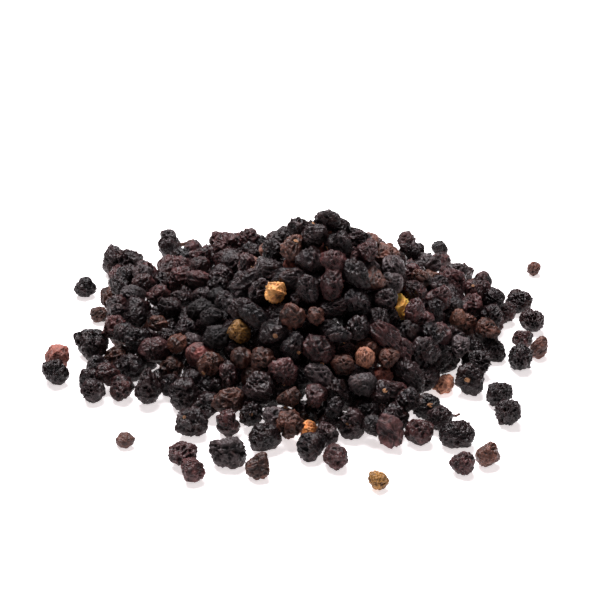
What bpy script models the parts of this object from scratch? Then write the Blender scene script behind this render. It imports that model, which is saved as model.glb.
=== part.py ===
"""A poured heap of dried elderberries, with the loose berries that rolled away from it.

The heap is one body. Its outer berries stand out of a smaller mound that fills the middle, where
no berry shows. Ten berries of other colours sit in pockets of it, each a body of its own, and so
is each loose berry round the foot. +Z is up, -Y is the front, and the floor is z = 0.
"""
import math
import random

import bmesh
import bpy
from mathutils import Matrix, Quaternion, Vector

MM = 0.001

# Dried elderberries are 3 to 5 mm across, and 4 mm on average.
BERRY_R = 2.0
BERRY_SPREAD = 0.4
SEED = 62

# The heap's foot, walked round its edge (x, y), in millimetres.
FOOT = [
    (-35.0, -13.0), (-30.5, -14.0), (-25.5, -13.0), (-22.0, -17.0), (-18.0, -17.5), (-13.5, -19.0),
    (-8.5, -22.0), (-4.5, -24.0), (-1.5, -26.5), (2.5, -29.0), (5.5, -26.0), (8.0, -24.5),
    (11.5, -26.0), (14.5, -29.5), (17.0, -21.0), (18.5, -14.5), (21.0, -11.0), (25.5, -6.5),
    (29.0, -4.5), (32.0, -0.5), (33.0, 6.5), (33.0, 12.5), (34.0, 17.5), (31.5, 21.5), (28.5, 27.5),
    (19.5, 29.5), (9.5, 32.0), (-3.5, 33.0), (-14.5, 31.0), (-23.5, 26.5), (-31.5, 24.5),
    (-33.5, 19.5), (-31.0, 9.5), (-30.5, 3.0), (-34.5, -3.5),
]
FOOT_BOX = (-35.0, 35.0, -31.0, 35.0)
# The steep middle: its centre, its reach along X and Y, and its height.
CONE = (4.0, 1.5, 32.0, 33.0, 28.5)
CONE_BOW = 0.12
# Lower shelves round it: centre, reach along X and Y, height in the middle and at the edge.
SHELVES = [
    (0.0, 0.0, 34.0, 34.0, 6.5, 4.8),
    (-20.5, 8.5, 16.0, 24.0, 8.5, 5.0),
    (22.5, 10.5, 14.0, 20.0, 8.5, 5.0),
    (-6.5, 18.5, 20.0, 14.0, 13.0, 6.0),
    (13.0, 20.0, 10.0, 11.0, 9.0, 6.0),
    (1.5, -15.5, 26.0, 13.0, 6.5, 5.2),
]
ONE_LAYER = 4.2
OVER_PILE = 0.5

# How a berry rolls down the pile: it sinks by a step, and is pushed out of those it meets.
STEP = 0.25
PUSHES = 4
TOUCH = 0.03
HELD_SHARE = 0.22
STILL_SHARE = 0.004
CELL = 6.0
MISSES = 170

# Loose berries: x, y and diameter in millimetres, and colour.
LOOSE = {
    "loose_red_far_left": (-40.0, -3.0, 4.1, "red"),
    "loose_far_left": (-39.5, -7.5, 4.1, "dark"),
    "loose_left_back": (-37.0, 22.0, 3.6, "dark"),
    "loose_left_oblong": (-34.5, 1.5, 4.5, "dark"),
    "loose_left_brown": (-34.0, 13.0, 2.9, "brown"),
    "loose_back_clump": (-32.0, 30.0, 4.6, "dark"),
    "loose_back_stalked": (-23.0, 35.0, 4.2, "dark"),
    "loose_front_small": (-27.5, -27.0, 2.8, "brown"),
    "loose_front_dark": (-18.0, -32.5, 4.2, "dark"),
    "loose_front_dark_low": (-16.5, -37.0, 3.5, "dark"),
    "loose_front_oblong": (-11.0, -32.5, 4.8, "dark"),
    "loose_front_pointed": (-6.5, -36.0, 3.5, "brown"),
    "loose_front_left": (-17.0, -23.5, 4.7, "dark"),
    "loose_front_left_inner": (-11.5, -23.5, 4.1, "dark"),
    "loose_front_middle": (-5.5, -28.0, 4.4, "dark"),
    "loose_front_lobed": (1.5, -30.5, 4.3, "dark"),
    "loose_front_lobed_low": (5.5, -33.0, 4.0, "dark"),
    "loose_front_olive": (12.0, -39.5, 3.0, "olive"),
    "loose_front_right": (18.5, -26.0, 4.1, "dark"),
    "loose_right_calyx": (20.0, -18.5, 4.0, "dark"),
    "loose_right_stalked": (22.0, -22.5, 3.8, "dark"),
    "loose_right_flat": (24.5, -27.0, 4.1, "dark"),
    "loose_right_low": (25.0, -35.0, 3.5, "dark"),
    "loose_right_low_brown": (29.0, -32.5, 3.5, "brown"),
    "loose_right_upper": (32.0, -14.5, 4.0, "dark"),
    "loose_right_lower": (33.0, -20.5, 4.3, "dark"),
    "loose_far_right": (36.0, -3.5, 4.3, "dark"),
    "loose_far_right_nub": (39.5, 0.5, 3.1, "brown"),
    "loose_far_back_right": (41.0, 29.5, 2.3, "brown"),
    "loose_back_right": (19.0, 39.5, 3.2, "dark"),
    "loose_back_right_inner": (20.5, 35.0, 3.0, "dark"),
    "loose_back_edge": (25.0, 37.5, 2.8, "dark"),
    "loose_back_edge_inner": (25.0, 32.5, 3.0, "dark"),
    "loose_right_edge": (37.5, 16.0, 3.8, "dark"),
    "loose_right_edge_low": (39.0, 9.5, 3.7, "dark"),
    "loose_right_small": (37.0, 4.0, 3.2, "dark"),
    "loose_right_inner": (34.5, 12.5, 3.7, "dark"),
    "loose_edge_brown": (23.0, -10.5, 3.2, "brown"),
    "loose_edge_dark": (27.5, -11.0, 4.5, "dark"),
}
# A loose berry keeps this far from the heap.
LOOSE_GAP = 0.35
# Longer berries: how much longer than wide, and the turn of the long side from +X, in degrees.
LONG = {
    "loose_left_oblong": (1.14, 5.0),
    "loose_front_oblong": (1.22, -8.0),
    "loose_right_flat": (1.3, 4.0),
    "loose_left_back": (1.12, 60.0),
    "loose_front_dark": (1.12, -15.0),
    "loose_right_edge": (1.15, -35.0),
}
# Pointed berries: which way the point leans (x, y, z), and its length in millimetres.
POINTS = {
    "loose_front_pointed": ((0.35, 0.2, 0.9), 0.9),
    "loose_front_olive": ((-0.6, 0.4, 0.7), 0.6),
    "loose_far_right_nub": ((0.5, 0.3, 0.8), 0.6),
    "loose_red_far_left": ((0.5, 0.5, 0.7), 0.4),
}
# Berries stuck together and dried stalks, as extra lumps and rods on a loose berry, measured
# from its middle: lumps are (x, y, z, diameter), rods (from, to, thickness), in millimetres.
LUMPS = {
    "loose_back_clump": [(2.6, 0.4, 0.1, 4.2)],
    "loose_back_stalked": [(-0.3, 0.9, 2.3, 2.6)],
}
RODS = {
    "loose_back_stalked": ((1.2, 0.3, 0.8), (4.3, 0.9, 1.5), 0.8),
    "loose_right_stalked": ((1.0, 0.4, 0.2), (3.2, 1.2, 0.5), 0.7),
}
ROD_SIDES = 6

# Berries of another colour in the heap: where each lies (x, y, z), in millimetres, and colour.
ACCENTS = {
    "berry_ochre_upper": (-4.0, -6.0, 16.0, "ochre"),
    "berry_olive_left": (-10.0, -8.5, 10.0, "olive"),
    "berry_yellow_right": (16.0, -2.0, 11.0, "yellow"),
    "berry_orange_front": (1.5, -24.5, 1.5, "orange"),
    "berry_brown_seed": (-6.0, -14.5, 8.5, "brown"),
    "berry_brown_right": (10.0, -16.5, 10.0, "brown"),
    "berry_brown_middle": (2.5, -10.5, 14.0, "brown"),
    "berry_plum_right": (13.0, -14.5, 5.0, "red"),
    "berry_brown_ridged": (-7.5, -14.0, 5.0, "brown"),
    "berry_red_left": (-16.5, -8.0, 5.5, "red"),
}

# Every berry is shrunken out of round by a few broad dents.
DENTS = 7
DENT_DEPTH = (-0.06, 0.17)
DENT_WIDTH = (0.25, 0.6)
SQUASH = (0.92, 1.07)
# A ball with few faces is drawn a little large, so that its faces lie near the true skin.
COARSE_OUT = 1.05
FINE_OUT = 1.03
# Corners of a berry that are this near the floor rest flat on it.
COARSE_RISE = 0.9
FINE_RISE = 0.3

# Which berries stand out of the mound: those with a free line out of the heap one of these ways.
WAYS_OUT = 40
WAYS_NEEDED = 10
GOLDEN_TURN = math.pi * (3 - math.sqrt(5))
SHADOW = 1.3
# The underside has fewer berries, this far apart.
UNDER_SPACING = 11.0

# The mound under the outer berries. It lies low enough that the gaps between them stay open.
MOUND_TURNS = 28
MOUND_RINGS = 8
MOUND_INSET = 1.0
EDGE_STEP = 0.25
MOUND_BOTTOM = 1.2
MOUND_LEAST = 2.3
MOUND_SKIN = 0.6
MOUND_DROP = 2.7
MOUND_BLUR = 1.1
BLUR_POINTS = 6
# A berry whose few faces miss its neighbours grows by this step until it meets one.
GROW_STEP = 0.2
MOST_GROWTH = 0.8

POCKET_GAP = 0.35
POCKET_NEAR = 1.2

COLOURS = {
    "dark": (0.012, 0.009, 0.011, 0.55),
    "brown": (0.085, 0.034, 0.022, 0.6),
    "red": (0.11, 0.022, 0.018, 0.55),
    "ochre": (0.42, 0.19, 0.045, 0.6),
    "olive": (0.24, 0.17, 0.03, 0.6),
    "yellow": (0.55, 0.33, 0.04, 0.6),
    "orange": (0.5, 0.17, 0.03, 0.6),
}


def clear_scene():
    for thing in list(bpy.data.objects):
        bpy.data.objects.remove(thing, do_unlink=True)


def in_foot(x, y):
    """Whether a point of the floor is inside the heap's foot."""
    odd = False
    ax, ay = FOOT[-1]
    for bx, by in FOOT:
        if (ay > y) != (by > y) and x < (bx - ax) * (y - ay) / (by - ay) + ax:
            odd = not odd
        ax, ay = bx, by
    return odd


def pile_height(x, y):
    """How high berries may pile up over a point of the floor."""
    if not in_foot(x, y):
        return 0.0
    cx, cy, rx, ry, top = CONE
    out = math.sqrt(((x - cx) / rx) ** 2 + ((y - cy) / ry) ** 2)
    height = max(ONE_LAYER, top * (1 - out) * (1 - CONE_BOW * out))
    for cx, cy, rx, ry, middle, edge in SHELVES:
        out = ((x - cx) / rx) ** 2 + ((y - cy) / ry) ** 2
        if out < 1:
            height = max(height, middle + (edge - middle) * out)
    return height


class Pile:
    """Balls at rest, found by the cell of the floor that they lie over."""

    def __init__(self):
        self.cells = {}

    def add(self, x, y, z, r):
        cell = (int(x // CELL), int(y // CELL))
        self.cells.setdefault(cell, []).append((x, y, z, r))

    def near(self, x, y):
        i, j = int(x // CELL), int(y // CELL)
        found = []
        for a in (i - 1, i, i + 1):
            for b in (j - 1, j, j + 1):
                found += self.cells.get((a, b), ())
        return found

    def drop(self, x, y, r):
        """Where a ball dropped at x, y comes to rest."""
        z = r
        for bx, by, bz, br in self.near(x, y):
            level = (r + br) ** 2 - (bx - x) ** 2 - (by - y) ** 2
            if level > 0:
                z = max(z, bz + math.sqrt(level))
        while z > r + 0.001:
            nx, ny, nz = x, y, z - STEP
            others = self.near(x, y)
            touching = 0
            for _ in range(PUSHES):
                touching = 0
                for bx, by, bz, br in others:
                    dx, dy, dz = nx - bx, ny - by, nz - bz
                    apart = dx * dx + dy * dy + dz * dz
                    reach = r + br
                    if apart < (reach + TOUCH) ** 2:
                        touching += 1
                    if 0 < apart < reach * reach:
                        push = reach / math.sqrt(apart)
                        nx, ny, nz = bx + dx * push, by + dy * push, bz + dz * push
                if nz < r:
                    nz = r
                    touching += 1
            fall = z - nz
            x, y, z = nx, ny, nz
            if fall < STEP * STILL_SHARE or (touching > 1 and fall < STEP * HELD_SHARE):
                break
        return x, y, z


def pour():
    """The heap's berries (x, y, z, radius), dropped one by one round the loose ones."""
    draw = random.Random(SEED)
    pile = Pile()
    for x, y, across, _ in LOOSE.values():
        pile.add(x, y, across / 2, across / 2 + LOOSE_GAP)
    berries = []
    misses = 0
    while misses < MISSES:
        x = draw.uniform(FOOT_BOX[0], FOOT_BOX[1])
        y = draw.uniform(FOOT_BOX[2], FOOT_BOX[3])
        r = BERRY_R + BERRY_SPREAD * (draw.random() + draw.random() + draw.random() - 1.5)
        if not in_foot(x, y):
            continue
        x, y, z = pile.drop(x, y, r)
        if z + r > pile_height(x, y) + OVER_PILE:
            misses += 1
            continue
        misses = 0
        pile.add(x, y, z, r)
        berries.append((x, y, z, r))
    return berries


def nearest_berry(berries, place):
    """Which of the berries lies nearest a place."""
    return min(range(len(berries)), key=lambda i: math.dist(berries[i][:3], place))


def ways_out(count):
    """Directions spread evenly over the upper half of a ball."""
    ways = []
    for i in range(count):
        up = (i + 0.5) / count
        side = math.sqrt(1 - up * up)
        turn = i * GOLDEN_TURN
        ways.append(Vector((side * math.cos(turn), side * math.sin(turn), up)))
    return ways


def outer_berries(berries):
    """The berries that show: enough ways out of the heap pass clear of all the others."""
    ways = ways_out(WAYS_OUT)
    centres = [Vector(b[:3]) for b in berries]
    shown = []
    for i, centre in enumerate(centres):
        free = 0
        for way in ways:
            for j, other in enumerate(centres):
                if j == i:
                    continue
                away = other - centre
                along = away.dot(way)
                if along > 0 and away.length_squared - along * along < (SHADOW * berries[j][3]) ** 2:
                    break
            else:
                free += 1
            if free >= WAYS_NEEDED:
                shown.append(i)
                break
    return shown


def under_berries(berries, taken):
    """A few of the berries on the floor, so that the underside shows them too."""
    kept = []
    for i, (x, y, z, r) in enumerate(berries):
        if i in taken or z > r + 0.05:
            continue
        if all(math.hypot(x - berries[k][0], y - berries[k][1]) > UNDER_SPACING for k in kept):
            kept.append(i)
    return kept


def random_way(draw):
    """A direction, each as likely as any other."""
    while True:
        way = Vector((draw.uniform(-1, 1), draw.uniform(-1, 1), draw.uniform(-1, 1)))
        if 0.1 < way.length < 1:
            return way.normalized()


def berry_form(seed):
    """The dents and the squash of one berry."""
    draw = random.Random(seed)
    dents = [(random_way(draw), draw.uniform(*DENT_DEPTH), draw.uniform(*DENT_WIDTH)) for _ in range(DENTS)]
    return {
        "dents": dents,
        "squash": Vector([draw.uniform(*SQUASH) for _ in range(3)]),
        "turn": Quaternion(random_way(draw), draw.uniform(0, math.tau)),
    }


def skin_point(way, r, form):
    """Where the skin lies along a direction, for a berry of mean radius r."""
    out = 1.0
    for dent, depth, width in form["dents"]:
        near = (way.dot(dent) - 1 + width) / width
        if near > 0:
            out -= depth * near * near
    point = Vector((way.x * form["squash"].x, way.y * form["squash"].y, way.z * form["squash"].z)) * r * out
    if "long" in form:
        stretch, turn = form["long"]
        along = Vector((math.cos(turn), math.sin(turn), 0))
        point += along * point.dot(along) * (stretch - 1)
        point.z /= math.sqrt(stretch)
    if "point" in form:
        lean, length = form["point"]
        near = max(0.0, way.dot(lean) * 2 - 1)
        point += lean * length * near * near
    return point


def face_down(bm):
    """Turns a ball so that one of its faces, or the middle one of a split face, points down."""
    bm.faces.ensure_lookup_table()
    lowest = min(bm.faces, key=lambda f: (f.calc_center_median().z, f.index))
    down = lowest.calc_center_median().normalized().rotation_difference(Vector((0, 0, -1)))
    bmesh.ops.rotate(bm, verts=bm.verts, cent=(0, 0, 0), matrix=down.to_matrix())


def ball(name, centre, r, form, splits, on_floor, swell=0.0):
    """A berry as an object. splits is 1 for 20 faces and 2 for 80. swell is added to its radius."""
    bm = bmesh.new()
    bmesh.ops.create_icosphere(bm, subdivisions=splits, radius=1)
    out = COARSE_OUT if splits == 1 else FINE_OUT
    rise = COARSE_RISE if splits == 1 else FINE_RISE
    if on_floor:
        face_down(bm)
        turn = Quaternion((0, 0, 1), form["turn"].angle)
    else:
        turn = form["turn"]
    floor = -centre[2]
    for v in bm.verts:
        way = (turn @ v.co).normalized()
        point = skin_point(way, r * out, form)
        if on_floor and point.z < floor + rise:
            point.z = floor
        v.co = (point + way * swell) * MM
    mesh = bpy.data.meshes.new(name)
    bm.to_mesh(mesh)
    bm.free()
    thing = bpy.data.objects.new(name, mesh)
    thing.location = Vector(centre) * MM
    bpy.context.scene.collection.objects.link(thing)
    return thing


def rod(name, start, end, thick):
    """A short dried stalk: a round rod that thins towards its end."""
    start, end = Vector(start), Vector(end)
    bm = bmesh.new()
    bmesh.ops.create_cone(
        bm,
        cap_ends=True,
        segments=ROD_SIDES,
        radius1=thick / 2 * MM,
        radius2=thick / 3 * MM,
        depth=(end - start).length * MM,
    )
    turn = Vector((0, 0, 1)).rotation_difference(end - start).to_matrix().to_4x4()
    bmesh.ops.transform(bm, verts=bm.verts, matrix=Matrix.Translation((start + end) / 2 * MM) @ turn)
    mesh = bpy.data.meshes.new(name)
    bm.to_mesh(mesh)
    bm.free()
    thing = bpy.data.objects.new(name, mesh)
    bpy.context.scene.collection.objects.link(thing)
    return thing


def combine(base, others, operation):
    """One Boolean of a collection on base, applied, with the collection's objects then removed."""
    group = bpy.data.collections.new("group")
    bpy.context.scene.collection.children.link(group)
    for other in others:
        bpy.context.scene.collection.objects.unlink(other)
        group.objects.link(other)
    change = base.modifiers.new("combine", "BOOLEAN")
    change.operation = operation
    change.operand_type = "COLLECTION"
    change.collection = group
    bpy.context.view_layer.update()
    graph = bpy.context.evaluated_depsgraph_get()
    mesh = bpy.data.meshes.new_from_object(base.evaluated_get(graph))
    base.modifiers.clear()
    base.data = mesh
    for other in others:
        bpy.data.objects.remove(other, do_unlink=True)
    bpy.data.collections.remove(group)


def shells(bm):
    """The mesh's separate surfaces, as lists of faces, with the volume that each encloses."""
    left = set(bm.faces)
    found = []
    for first in bm.faces:
        if first not in left:
            continue
        left.discard(first)
        shell, edge = [first], [first]
        while edge:
            face = edge.pop()
            for side in face.edges:
                for other in side.link_faces:
                    if other in left:
                        left.discard(other)
                        shell.append(other)
                        edge.append(other)
        volume = 0.0
        for face in shell:
            a = face.verts[0].co
            for b, c in zip(face.verts[1:], face.verts[2:]):
                volume += a.dot(b.co.cross(c.co)) / 6
        found.append((volume, shell))
    return found


def keep_largest(thing):
    """Fills sealed hollows and drops loose scraps: only the outer surface of the body stays."""
    bm = bmesh.new()
    bm.from_mesh(thing.data)
    bmesh.ops.triangulate(bm, faces=bm.faces)
    found = sorted(shells(bm), key=lambda one: one[0])
    spare = [face for _, shell in found[:-1] for face in shell]
    bmesh.ops.delete(bm, geom=spare, context="FACES")
    bm.to_mesh(thing.data)
    bm.free()


def apart_from_largest(thing, berries):
    """Which of the berries stand apart from the body's largest surface."""
    bm = bmesh.new()
    bm.from_mesh(thing.data)
    found = sorted(shells(bm), key=lambda one: one[0])
    apart = set()
    for volume, shell in found[:-1]:
        if volume > 0:
            corners = {v for face in shell for v in face.verts}
            middle = sum((v.co for v in corners), Vector()) / len(corners) / MM
            apart.add(nearest_berry(berries, middle))
    bm.free()
    return apart


def mound_mesh(berries, taken_out):
    """The mound: a height over a grid of rings, a little under the berries' own tops."""
    cx, cy = CONE[0], CONE[1]

    def skin(x, y):
        top = 0.0
        for i, (bx, by, bz, br) in enumerate(berries):
            level = (br + MOUND_SKIN) ** 2 - (bx - x) ** 2 - (by - y) ** 2
            if level > 0 and i not in taken_out:
                top = max(top, bz + math.sqrt(level))
        return top

    def height(x, y):
        """The mean skin over a small circle, lowered."""
        total = skin(x, y)
        for k in range(BLUR_POINTS):
            turn = math.tau * k / BLUR_POINTS
            total += skin(x + MOUND_BLUR * math.cos(turn), y + MOUND_BLUR * math.sin(turn))
        return max(MOUND_LEAST, total / (BLUR_POINTS + 1) - MOUND_DROP)

    def edge_at(turn):
        """How far the foot's edge is from the middle, less the inset."""
        out = 0.0
        while in_foot(cx + out * math.cos(turn), cy + out * math.sin(turn)):
            out += EDGE_STEP
        return out - MOUND_INSET

    bm = bmesh.new()
    peak = bm.verts.new((cx * MM, cy * MM, height(cx, cy) * MM))
    base = bm.verts.new((cx * MM, cy * MM, MOUND_BOTTOM * MM))
    rings = []
    turns = [math.tau * k / MOUND_TURNS for k in range(MOUND_TURNS)]
    edges = [edge_at(turn) for turn in turns]
    for ring in range(1, MOUND_RINGS + 1):
        row = []
        for turn, edge in zip(turns, edges):
            x = cx + edge * ring / MOUND_RINGS * math.cos(turn)
            y = cy + edge * ring / MOUND_RINGS * math.sin(turn)
            row.append(bm.verts.new((x * MM, y * MM, height(x, y) * MM)))
        rings.append(row)
    rings.append([bm.verts.new((v.co.x, v.co.y, MOUND_BOTTOM * MM)) for v in rings[-1]])
    for k in range(MOUND_TURNS):
        n = (k + 1) % MOUND_TURNS
        bm.faces.new((peak, rings[0][k], rings[0][n]))
        for inner, outer in zip(rings, rings[1:]):
            bm.faces.new((inner[k], outer[k], outer[n], inner[n]))
        bm.faces.new((base, rings[-1][n], rings[-1][k]))
    bmesh.ops.triangulate(bm, faces=bm.faces)
    mesh = bpy.data.meshes.new("heap")
    bm.to_mesh(mesh)
    bm.free()
    return mesh


def finish(thing, colour):
    """Gives a node its own material and smooth shading."""
    red, green, blue, rough = COLOURS[colour]
    material = bpy.data.materials.new(thing.name + "_skin")
    material.use_nodes = True
    shader = material.node_tree.nodes["Principled BSDF"]
    shader.inputs["Base Color"].default_value = (red, green, blue, 1)
    shader.inputs["Roughness"].default_value = rough
    shader.inputs["Metallic"].default_value = 0.0
    material.diffuse_color = (red, green, blue, 1)
    thing.data.materials.clear()
    thing.data.materials.append(material)
    thing.data.shade_smooth()
    thing.data.set_sharp_from_angle(angle=math.radians(50))


def loose_form(name, index):
    form = berry_form(SEED * 10000 + index)
    if name in LONG:
        stretch, turn = LONG[name]
        form["long"] = (stretch, math.radians(turn))
    if name in POINTS:
        lean, length = POINTS[name]
        form["point"] = (Vector(lean).normalized(), length)
    return form


def loose_berry(name, index, swell=0.0):
    """A loose berry with its lumps and its stalk. With swell it is the pocket that it needs."""
    x, y, across, _ = LOOSE[name]
    centre = (x, y, across / 2)
    thing = ball(name, centre, across / 2, loose_form(name, index), 2, on_floor=swell == 0, swell=swell)
    extras = []
    for lump, (dx, dy, dz, wide) in enumerate(LUMPS.get(name, ())):
        place = (x + dx, y + dy, across / 2 + dz)
        form = berry_form(SEED * 20000 + index * 10 + lump)
        low = abs(dz) < 0.2
        extras.append(ball(name, place, wide / 2, form, 2, on_floor=low and swell == 0, swell=swell))
    if name in RODS and swell == 0:
        start, end, thick = RODS[name]
        middle = Vector(centre)
        extras.append(rod(name, middle + Vector(start), middle + Vector(end), thick))
    if extras:
        combine(thing, extras, "UNION")
        keep_largest(thing)
    return thing


def near_heap(name, berries):
    x, y, across, _ = LOOSE[name]
    reach = across * 0.7 + POCKET_NEAR
    return any(math.hypot(bx - x, by - y) < reach + br and bz < across + br for bx, by, bz, br in berries)


def build():
    clear_scene()
    berries = pour()
    shown = outer_berries(berries)
    accents = {nearest_berry(berries, place[:3]): name for name, place in ACCENTS.items()}
    under = under_berries(berries, set(shown))
    mound = mound_mesh(berries, accents)
    heap = bpy.data.objects.new("heap", mound)
    bpy.context.scene.collection.objects.link(heap)

    def heap_ball(i, splits, swell=0.0, growth=0.0):
        x, y, z, r = berries[i]
        on_floor = z < r + 0.05 and swell == 0
        return ball("ball", (x, y, z), r + growth, berry_form(SEED * 1000 + i), splits, on_floor, swell)

    growths = {i: 0.0 for i in shown + under if i not in accents}
    apart = set(growths)
    while apart and max(growths.values()) < MOST_GROWTH:
        heap.data = mound
        combine(heap, [heap_ball(i, 1, growth=growth) for i, growth in growths.items()], "UNION")
        apart = apart_from_largest(heap, berries) & set(growths)
        for i in apart:
            growths[i] += GROW_STEP
    keep_largest(heap)
    pockets = [heap_ball(i, 2, POCKET_GAP) for i in accents]
    for index, name in enumerate(LOOSE):
        if near_heap(name, berries):
            pockets.append(loose_berry(name, index, POCKET_GAP))
    combine(heap, pockets, "DIFFERENCE")
    keep_largest(heap)
    finish(heap, "dark")
    for i, name in accents.items():
        thing = heap_ball(i, 2)
        thing.name = name
        finish(thing, ACCENTS[name][3])
    for index, name in enumerate(LOOSE):
        finish(loose_berry(name, index), LOOSE[name][3])


build()
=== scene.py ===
"""The looks of a poured heap of dried elderberries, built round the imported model.

The pour is made again from the part's own numbers, so each detailed berry lies where its plain one
does. Every berry has its own shrunken form, folds and a raised net of wrinkles. Lengths here are in
millimetres until a mesh is made. +Z is up, -Y is the front, and the floor is z = 0.
"""

import math
import random

import bmesh
import bpy
import numpy as np
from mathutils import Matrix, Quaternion, Vector


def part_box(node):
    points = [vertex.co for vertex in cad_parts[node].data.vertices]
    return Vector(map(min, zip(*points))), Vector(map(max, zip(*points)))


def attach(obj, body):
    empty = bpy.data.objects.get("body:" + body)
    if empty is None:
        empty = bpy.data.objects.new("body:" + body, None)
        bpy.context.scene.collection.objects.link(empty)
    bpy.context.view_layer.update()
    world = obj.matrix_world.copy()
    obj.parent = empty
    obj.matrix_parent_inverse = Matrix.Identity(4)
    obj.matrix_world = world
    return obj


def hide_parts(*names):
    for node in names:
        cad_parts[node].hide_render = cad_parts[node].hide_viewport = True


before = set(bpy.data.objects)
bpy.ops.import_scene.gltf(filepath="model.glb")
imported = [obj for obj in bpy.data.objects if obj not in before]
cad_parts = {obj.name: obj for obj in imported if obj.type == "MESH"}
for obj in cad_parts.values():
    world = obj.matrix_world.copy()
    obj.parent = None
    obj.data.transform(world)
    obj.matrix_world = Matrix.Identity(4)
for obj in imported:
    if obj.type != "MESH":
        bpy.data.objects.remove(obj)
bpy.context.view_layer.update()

MM = 0.001

# The photograph's view: how far down it looks, from how far off, and the size of one of its pixels.
PHOTO_SIDE = 600
LOOKS_DOWN = math.radians(30.0)
VIEW_DISTANCE = 420.0
PIXEL = 0.163
AIM = np.array((-0.5, -5.5, 4.0))
AIM_PIXEL = (297, 355)
SENSOR = 36.0

# The pour, as in the part.
BERRY_R = 2.0
BERRY_SPREAD = 0.4
SEED = 62
FOOT = [
    (-35.0, -13.0), (-30.5, -14.0), (-25.5, -13.0), (-22.0, -17.0), (-18.0, -17.5), (-13.5, -19.0),
    (-8.5, -22.0), (-4.5, -24.0), (-1.5, -26.5), (2.5, -29.0), (5.5, -26.0), (8.0, -24.5),
    (11.5, -26.0), (14.5, -29.5), (17.0, -21.0), (18.5, -14.5), (21.0, -11.0), (25.5, -6.5),
    (29.0, -4.5), (32.0, -0.5), (33.0, 6.5), (33.0, 12.5), (34.0, 17.5), (31.5, 21.5), (28.5, 27.5),
    (19.5, 29.5), (9.5, 32.0), (-3.5, 33.0), (-14.5, 31.0), (-23.5, 26.5), (-31.5, 24.5),
    (-33.5, 19.5), (-31.0, 9.5), (-30.5, 3.0), (-34.5, -3.5),
]
FOOT_BOX = (-35.0, 35.0, -31.0, 35.0)
CONE = (4.0, 1.5, 32.0, 33.0, 28.5)
CONE_BOW = 0.12
SHELVES = [
    (0.0, 0.0, 34.0, 34.0, 6.5, 4.8),
    (-20.5, 8.5, 16.0, 24.0, 8.5, 5.0),
    (22.5, 10.5, 14.0, 20.0, 8.5, 5.0),
    (-6.5, 18.5, 20.0, 14.0, 13.0, 6.0),
    (13.0, 20.0, 10.0, 11.0, 9.0, 6.0),
    (1.5, -15.5, 26.0, 13.0, 6.5, 5.2),
]
ONE_LAYER = 4.2
OVER_PILE = 0.5
STEP = 0.25
PUSHES = 4
TOUCH = 0.03
HELD_SHARE = 0.22
STILL_SHARE = 0.004
CELL = 6.0
MISSES = 170
LOOSE_GAP = 0.35
FLOOR_TOUCH = 0.001

# Loose berries: x, y and diameter in millimetres, and look.
LOOSE = {
    "loose_red_far_left": (-40.0, -3.0, 4.1, "terracotta"),
    "loose_far_left": (-39.5, -7.5, 4.1, "dark"),
    "loose_left_back": (-37.0, 22.0, 3.6, "dark"),
    "loose_left_oblong": (-34.5, 1.5, 4.5, "dark"),
    "loose_left_brown": (-34.0, 13.0, 2.9, "brown"),
    "loose_back_clump": (-32.0, 30.0, 4.6, "dark"),
    "loose_back_stalked": (-23.0, 35.0, 4.2, "dark"),
    "loose_front_small": (-27.5, -27.0, 2.8, "husk"),
    "loose_front_dark": (-18.0, -32.5, 4.2, "plum"),
    "loose_front_dark_low": (-16.5, -37.0, 3.5, "plum"),
    "loose_front_oblong": (-11.0, -32.5, 4.8, "grey"),
    "loose_front_pointed": (-6.5, -36.0, 3.5, "brown"),
    "loose_front_left": (-17.0, -23.5, 4.7, "dark"),
    "loose_front_left_inner": (-11.5, -23.5, 4.1, "plum"),
    "loose_front_middle": (-5.5, -28.0, 4.4, "dark"),
    "loose_front_lobed": (1.5, -30.5, 4.3, "dark"),
    "loose_front_lobed_low": (5.5, -33.0, 4.0, "plum"),
    "loose_front_olive": (12.0, -39.5, 3.0, "olive"),
    "loose_front_right": (18.5, -26.0, 4.1, "plum"),
    "loose_right_calyx": (20.0, -18.5, 4.0, "dark"),
    "loose_right_stalked": (22.0, -22.5, 3.8, "dark"),
    "loose_right_flat": (24.5, -27.0, 4.1, "dark"),
    "loose_right_low": (25.0, -35.0, 3.5, "plum"),
    "loose_right_low_brown": (29.0, -32.5, 3.5, "brown"),
    "loose_right_upper": (32.0, -14.5, 4.0, "dark"),
    "loose_right_lower": (33.0, -20.5, 4.3, "dark"),
    "loose_far_right": (36.0, -3.5, 4.3, "dark"),
    "loose_far_right_nub": (39.5, 0.5, 3.1, "brown"),
    "loose_far_back_right": (41.0, 29.5, 2.3, "brown"),
    "loose_back_right": (19.0, 39.5, 3.2, "plum"),
    "loose_back_right_inner": (20.5, 35.0, 3.0, "dark"),
    "loose_back_edge": (25.0, 37.5, 2.8, "dark"),
    "loose_back_edge_inner": (25.0, 32.5, 3.0, "plum"),
    "loose_right_edge": (37.5, 16.0, 3.8, "dark"),
    "loose_right_edge_low": (39.0, 9.5, 3.7, "dark"),
    "loose_right_small": (37.0, 4.0, 3.2, "plum"),
    "loose_right_inner": (34.5, 12.5, 3.7, "plum"),
    "loose_edge_brown": (23.0, -10.5, 3.2, "nut"),
    "loose_edge_dark": (27.5, -11.0, 4.5, "dark"),
}
# Longer berries: how much longer than wide, and the turn of the long side from +X, in degrees.
LONG = {
    "loose_left_oblong": (1.14, 5.0),
    "loose_front_oblong": (1.22, -8.0),
    "loose_right_flat": (1.3, 4.0),
    "loose_left_back": (1.12, 60.0),
    "loose_front_dark": (1.12, -15.0),
    "loose_right_edge": (1.15, -35.0),
}
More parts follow.
